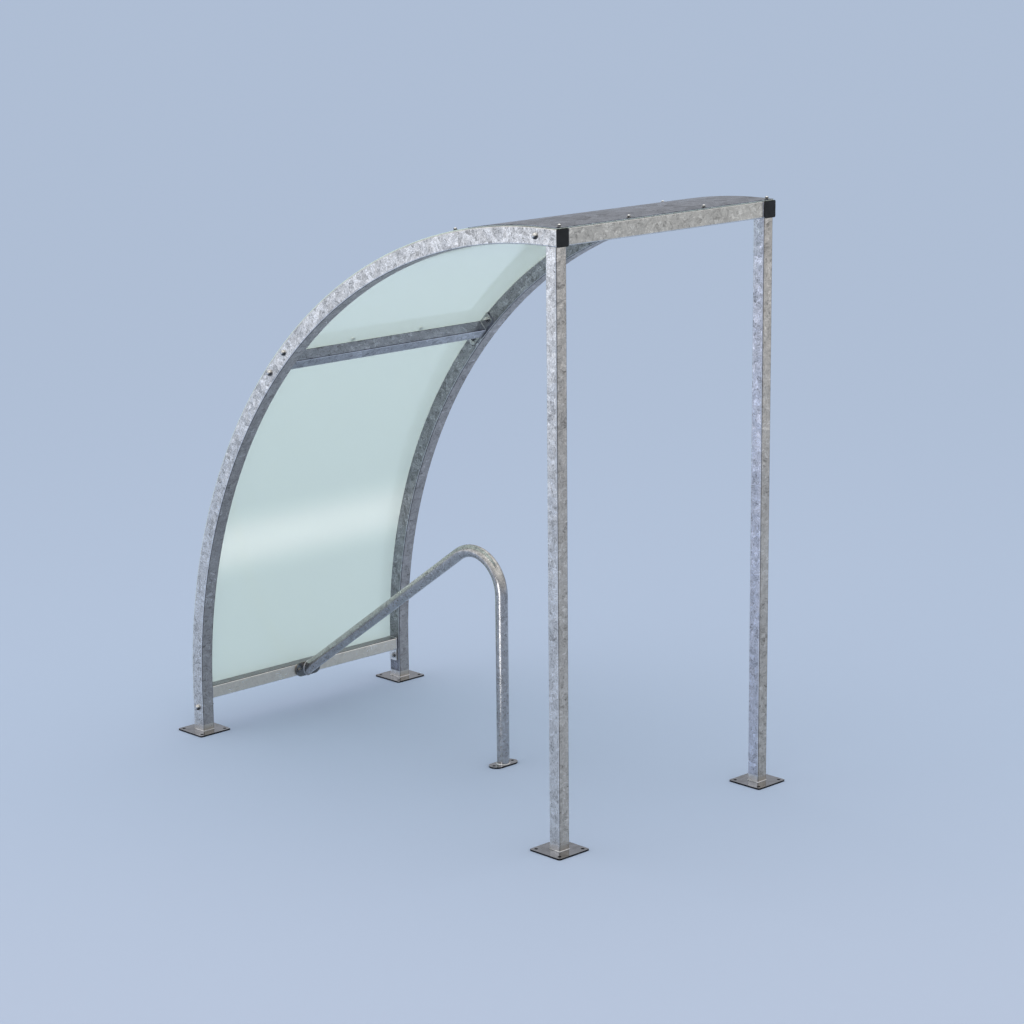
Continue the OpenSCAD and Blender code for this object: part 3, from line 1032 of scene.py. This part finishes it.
@dataclass
class Welds:
    """Weld beads round the feet and round the ends of the cross members."""

    plan: Plan
    foot_weld: float = 0.0024
    end_weld: float = 0.0020

    def feet(self) -> None:
        """Build a bead round each stub where it stands on its base plate."""
        p = self.plan
        surface = Surface()
        for y, size in ((p.post_y, p.post_size), (p.leg_y, p.leg_size)):
            loop = rounded_loop(*size, p.tube_corner)
            for side in (-1, 1):
                path = np.stack([loop[:, 0] + side * p.frame_x, loop[:, 1] + y,
                                 np.full(len(loop), p.plate_top)], -1)
                surface.grid(bead(path, self.foot_weld), close_u=True)
        surface.piece("foot_welds", [Finish.WELD], 2.0)

    def ends(self) -> None:
        """Build a bead round each cross member where it meets its flange.

        The outline lies in the plane across X. It is turned by the angle at which the
        member lies on the bend, and then moved to its centre line.
        """
        p = self.plan
        surface = Surface()
        members = ((p.beam_centre, p.beam_size, 0.0),
                   (p.on_bend(p.purlin_angle, p.purlin_radius), p.cross_size, p.purlin_angle),
                   (p.rail_centre, p.cross_size, 0.0))
        reach = p.frame_x - p.half_frame - p.flange
        for (y, z), size, turn in members:
            loop = rounded_loop(*size, p.tube_corner)
            c, s = math.cos(turn), math.sin(turn)
            ys = y + loop[:, 0] * c - loop[:, 1] * s
            zs = z + loop[:, 0] * s + loop[:, 1] * c
            for side in (-1, 1):
                path = np.stack([np.full(len(loop), side * reach), ys, zs], -1)
                surface.grid(bead(path, self.end_weld), close_u=True)
        surface.piece("cross_welds", [Finish.WELD], 2.0)


def dress(nodes: Sequence[str], finish: Finish) -> None:
    """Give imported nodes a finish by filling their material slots.

    Args:
        nodes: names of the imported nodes.
        finish: the finish that every slot of theirs gets.
    """
    for name in nodes:
        for slot in bpy.data.objects[name].material_slots:
            slot.material = finish.material()
        LOG.info("%s: %s", name, finish.value.name)


@dataclass
class Tubes:
    """Finishes of the side frames, posts, feet, cross members and sheets."""

    def dress(self) -> None:
        """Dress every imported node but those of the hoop."""
        sides = ("left", "right")
        corners = ("front_left", "front_right", "rear_left", "rear_right")
        dress([f"frame_{s}" for s in sides], Finish.FRAME)
        dress([f"post_{s}" for s in sides], Finish.POST)
        dress([f"end_cap_{s}" for s in sides], Finish.CAP)
        dress([f"foot_{c}" for c in corners], Finish.PLATE)
        dress([f"stub_{c}" for c in corners], Finish.STUB)
        dress(["front_beam"] + [f"beam_flange_{s}" for s in sides], Finish.BEAM)
        dress(["purlin"] + [f"purlin_flange_{s}" for s in sides], Finish.PURLIN)
        dress(["bottom_rail"] + [f"rail_flange_{s}" for s in sides], Finish.RAIL)
        dress(["roof_panel"], Finish.SHEET)
        dress(["roof_cover"], Finish.COVER)


# ------------------------------------------------------------------ studio


@dataclass(frozen=True)
class Softbox:
    """A square or oblong soft light that points at a place."""

    name: str
    place: tuple[float, float, float]
    aim: tuple[float, float, float]
    size: tuple[float, float]
    watts: float
    tint: tuple[float, float, float] = (1.0, 1.0, 1.0)
    spread: float = math.pi
    skip_floor: bool = False
    mirrored: bool = True

    def build(self, floor: bpy.types.Object) -> None:
        """Add the light to the scene.

        Args:
            floor: the floor, which a light that skips it does not shine on.
        """
        light = bpy.data.lights.new(self.name, "AREA")
        light.spread = self.spread
        light.shape = "RECTANGLE"
        light.size, light.size_y = self.size
        light.energy = self.watts
        light.color = self.tint
        made = bpy.data.objects.new(self.name, light)
        made.visible_camera = False
        made.visible_glossy = self.mirrored
        _, _, along = axes_about(np.subtract(self.place, self.aim))
        level = np.cross((0.0, 0.0, 1.0), along)
        if np.linalg.norm(level) < 1e-6:
            level = np.array([1.0, 0.0, 0.0])
        level /= np.linalg.norm(level)
        turn = np.stack([level, np.cross(along, level), along], -1)
        made.matrix_world = Matrix.Translation(self.place) @ Matrix(turn.tolist()).to_4x4()
        bpy.context.scene.collection.objects.link(made)
        if self.skip_floor:
            skipped = bpy.data.collections.new(self.name + "_skips")
            skipped.objects.link(floor)
            skipped.collection_objects[0].light_linking.link_state = "EXCLUDE"
            made.light_linking.receiver_collection = skipped


@dataclass
class Studio:
    """Floor, surrounding light and softboxes."""

    floor_half: float = 110.0
    floor_squares: int = 40
    level_air: tuple[float, float, float] = (0.49, 0.51, 0.55)
    high_air: tuple[float, float, float] = (1.22, 1.22, 1.18)
    lights: tuple[Softbox, ...] = (
        Softbox("key_left", (-5.6, 4.2, 1.9), (0.0, 0.0, 1.0), (5.4, 3.8), 32.0),
        Softbox("strip_left", (-1.35, -0.40, 0.40), (0.0, -0.175, 0.40), (0.36, 0.80), 0.75,
                spread=math.radians(70.0), skip_floor=True),
        Softbox("strip_back", (0.0, 2.6, 0.90), (0.0, 0.95, 0.745), (1.1, 0.05), 0.28,
                spread=math.radians(12.0), skip_floor=True, mirrored=False),
        Softbox("overhead", (0.0, -0.6, 6.0), (0.0, 0.0, 0.0), (4.0, 4.0), 30.0),
        Softbox("warm_right", (5.5, -5.2, 1.3), (0.0, 0.0, 0.8), (4.0, 2.4), 9.0, (1.0, 0.94, 0.84)),
    )

    def floor(self) -> bpy.types.Object:
        """Build the floor as a grid that is fine near the shelter and coarse far off.

        Point (u, v) with u and v from -1 to 1 lies at half the floor's width times the
        cube of u and of v, so the squares grow with the distance.

        Returns:
            The floor.
        """
        squares = self.floor_squares
        steps = np.linspace(-1.0, 1.0, squares + 1) ** 3 * self.floor_half
        x, y = np.meshgrid(steps, steps, indexing="ij")
        points = np.stack([x, y, np.zeros_like(x)], -1).reshape(-1, 3)
        i, j = np.meshgrid(np.arange(squares), np.arange(squares), indexing="ij")
        corner = (i * (squares + 1) + j).reshape(-1)
        ahead = corner + squares + 1
        faces = np.stack([corner, ahead, ahead + 1, corner + 1], -1)
        mesh = bpy.data.meshes.new("studio_floor")
        mesh.from_pydata(points.tolist(), [], faces.tolist())
        mesh.materials.append(Finish.FLOOR.material())
        made = bpy.data.objects.new("studio_floor", mesh)
        bpy.context.scene.collection.objects.link(made)
        return made

    def air_light(self) -> None:
        """Light the scene from all round, softly brighter overhead than at eye level."""
        g = Graph(bpy.data.worlds.new("studio_air"))
        way = g.add("TexCoord").outputs["Generated"]
        rise = g.span(g.part(way, "Z"), 0.0, 1.0, 0.10, 0.85)
        air = g.mix(rise, (*self.level_air, 1.0), (*self.high_air, 1.0))
        back = g.add("Background", {"Color": air})
        bpy.context.scene.world = g.finish(back.outputs["Background"], "OutputWorld")

    def build(self) -> None:
        """Build the floor and the lights, and show colours as they are."""
        floor = self.floor()
        self.air_light()
        for light in self.lights:
            light.build(floor)
        bpy.context.scene.view_settings.view_transform = "Standard"


@dataclass
class View:
    """The camera: heading from +Y towards +X, dip below level and roll, in radians."""

    heading: float = 0.76959
    dip: float = 0.22846
    roll: float = -0.00974
    lens: float = 97.55891
    sensor: float = 36.0
    reach: float = 400.0
    place: tuple[float, float, float] = (-7.01807, -7.47988, 3.34769)

    def build(self) -> None:
        """Add the camera and make it the scene's own."""
        a, d, r = self.heading, self.dip, self.roll
        ahead = np.array([math.sin(a) * math.cos(d), math.cos(a) * math.cos(d), -math.sin(d)])
        level = np.array([math.cos(a), -math.sin(a), 0.0])
        up = np.cross(level, ahead)
        side = level * math.cos(r) + up * math.sin(r)
        top = up * math.cos(r) - level * math.sin(r)
        data = bpy.data.cameras.new("camera")
        data.sensor_fit = "HORIZONTAL"
        data.sensor_width = self.sensor
        data.lens = self.lens
        data.clip_end = self.reach
        camera = bpy.data.objects.new("camera", data)
        turn = Matrix(np.stack([side, top, -ahead], -1).tolist()).to_4x4()
        camera.matrix_world = Matrix.Translation(self.place) @ turn
        bpy.context.scene.collection.objects.link(camera)
        bpy.context.scene.camera = camera


def main() -> None:
    """Build the whole scene in order."""
    logging.basicConfig(level=logging.INFO, format="%(name)s: %(message)s")
    plan = Plan()
    View().build()
    Tubes().dress()
    hoop = Hoop(plan)
    hoop.dress()
    hoop.bolts()
    hoop.welds()
    FrameBolts(plan).build()
    RoofScrews(plan).build()
    welds = Welds(plan)
    welds.feet()
    welds.ends()
    Studio().build()


if __name__ == "__main__":
    main()
